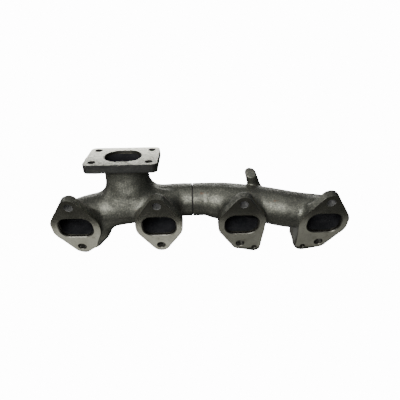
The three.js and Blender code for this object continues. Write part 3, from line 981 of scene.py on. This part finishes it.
def passage_shade_material():
    # Near black, darker than the cast iron outside and with little shine: painted shade inside the
    # passages.
    s = Shader("cored_passage_painted_shade", Specular_IOR_Level=0.08)
    cloud = s.noise(45, 4)
    grain = s.noise(500, 3, 0.6)
    tone = s.mix(s.ramp(cloud, 0.35, 0.65), (0.0070, 0.0072, 0.0085, 1), (0.016, 0.016, 0.018, 1))
    tone = s.mix(s.ramp(grain, 0.55, 0.75), tone, (0.028, 0.027, 0.026, 1))
    s.put(s.surface.inputs["Base Color"], tone)
    s.put(s.surface.inputs["Roughness"], s.ramp(grain, 0.35, 0.7, 0.78, 0.62))
    s.put(s.surface.inputs["Normal"], s.bump(grain, 0.0008, 0.6))
    return s.material


def ring_steel_material():
    s = Shader("ring_steel", Metallic=1.0)
    lines = s.noise(500, 2, 0.5, s.stretched((8, 1, 1)))
    tone = s.mix(s.ramp(lines, 0.35, 0.65), (0.36, 0.36, 0.36, 1), (0.50, 0.50, 0.49, 1))
    s.put(s.surface.inputs["Base Color"], tone)
    s.put(s.surface.inputs["Roughness"], s.ramp(lines, 0.3, 0.7, 0.28, 0.42))
    s.put(s.surface.inputs["Normal"], s.bump(lines, 0.00005, 0.3))
    return s.material


# ---- Floor, lights and camera --------------------------------------------------

def floor():
    bpy.ops.mesh.primitive_plane_add(size=14, location=(0, 0, cad_low[2] - 0.0003))
    plane = bpy.context.object
    plane.name = "floor"
    s = Shader("pale_floor")
    out = s.tree.nodes["Material Output"]
    path = s.node("ShaderNodeLightPath").outputs["Is Camera Ray"]
    seen = s.node("ShaderNodeEmission", {"Color": (1, 1, 1, 1), "Strength": WHITE})
    lit = s.node("ShaderNodeBsdfDiffuse", {"Color": (0.045, 0.045, 0.045, 1)})
    mixed = s.node("ShaderNodeMixShader", {0: path, 1: lit.outputs[0], 2: seen.outputs[0]})
    s.put(out.inputs["Surface"], mixed.outputs[0])
    plane.data.materials.append(s.material)


def area_light(name, location, target, size, power, colour=(1, 1, 1)):
    data = bpy.data.lights.new(name, "AREA")
    data.shape = "RECTANGLE"
    data.size, data.size_y = size
    data.energy = power
    data.color = colour
    light = bpy.data.objects.new(name, data)
    bpy.context.scene.collection.objects.link(light)
    light.location = location
    aim = Vector(target) - Vector(location)
    light.rotation_euler = aim.to_track_quat("-Z", "Y").to_euler()
    light.visible_camera = False
    return light


def studio():
    world = bpy.data.worlds.new("studio")
    world.use_nodes = True
    tree = world.node_tree
    path = tree.nodes.new("ShaderNodeLightPath").outputs["Is Camera Ray"]
    lit = tree.nodes["Background"]
    lit.inputs["Color"].default_value = (0.74, 0.85, 1, 1)
    lit.inputs["Strength"].default_value = 0.065
    seen = tree.nodes.new("ShaderNodeBackground")
    seen.inputs["Color"].default_value = (1, 1, 1, 1)
    seen.inputs["Strength"].default_value = WHITE
    mixed = tree.nodes.new("ShaderNodeMixShader")
    tree.links.new(path, mixed.inputs[0])
    tree.links.new(lit.outputs[0], mixed.inputs[1])
    tree.links.new(seen.outputs[0], mixed.inputs[2])
    tree.links.new(mixed.outputs[0], tree.nodes["World Output"].inputs["Surface"])
    bpy.context.scene.world = world
    area_light("key", (-0.34, -0.75, 0.86), (0, 0.05, 0), (0.62, 0.72), 21.5)
    area_light("overhead", (0, 0.35, 1.5), (0, 0, 0), (1.6, 1.0), 7)
    area_light("left_fill", (-1.2, -0.15, 0.35), (0, 0, 0), (0.8, 0.6), 4)
    backdrop = area_light("backdrop", (-0.25, 1.5, 0.09), (-0.05, 0, 0.08), (2.2, 0.32), 18)
    backdrop.visible_diffuse = False
    near = (-0.17, -0.035, -0.0632)
    front = area_light("front_card", near, (near[0], near[1], 1), (0.34, 0.058), 0.048)
    front.visible_diffuse = False
    near = (0.15, -0.038, -0.0632)
    front = area_light("side_card", near, (near[0], near[1], 1), (0.3, 0.064), 0.017)
    front.visible_diffuse = False
    near = (0.10, 0.075, -0.0632)
    back = area_light("rear_card", near, (near[0], near[1], 1), (0.16, 0.12), 0.03)
    back.visible_diffuse = False


def camera():
    data = bpy.data.cameras.new("camera")
    data.lens = 31.05
    data.sensor_width = 36
    made = bpy.data.objects.new("camera", data)
    bpy.context.scene.collection.objects.link(made)
    made.location = (-0.006806, -0.367488, 0.398422)
    made.rotation_euler = [math.radians(a) for a in (46.9776, 0.3399, -1.2853)]
    bpy.context.scene.camera = made


camera()
floor()
studio()
casting_materials = [
    cast_iron_material(), machined_material(), drilled_material(), joint_land_material(),
    passage_shade_material(), painted_lit_hole_material(),
]
front_casting(casting_materials)
rear_casting(casting_materials)
steel = ring_steel_material()
for ring_number in range(3):
    sealing_ring(ring_number, steel)
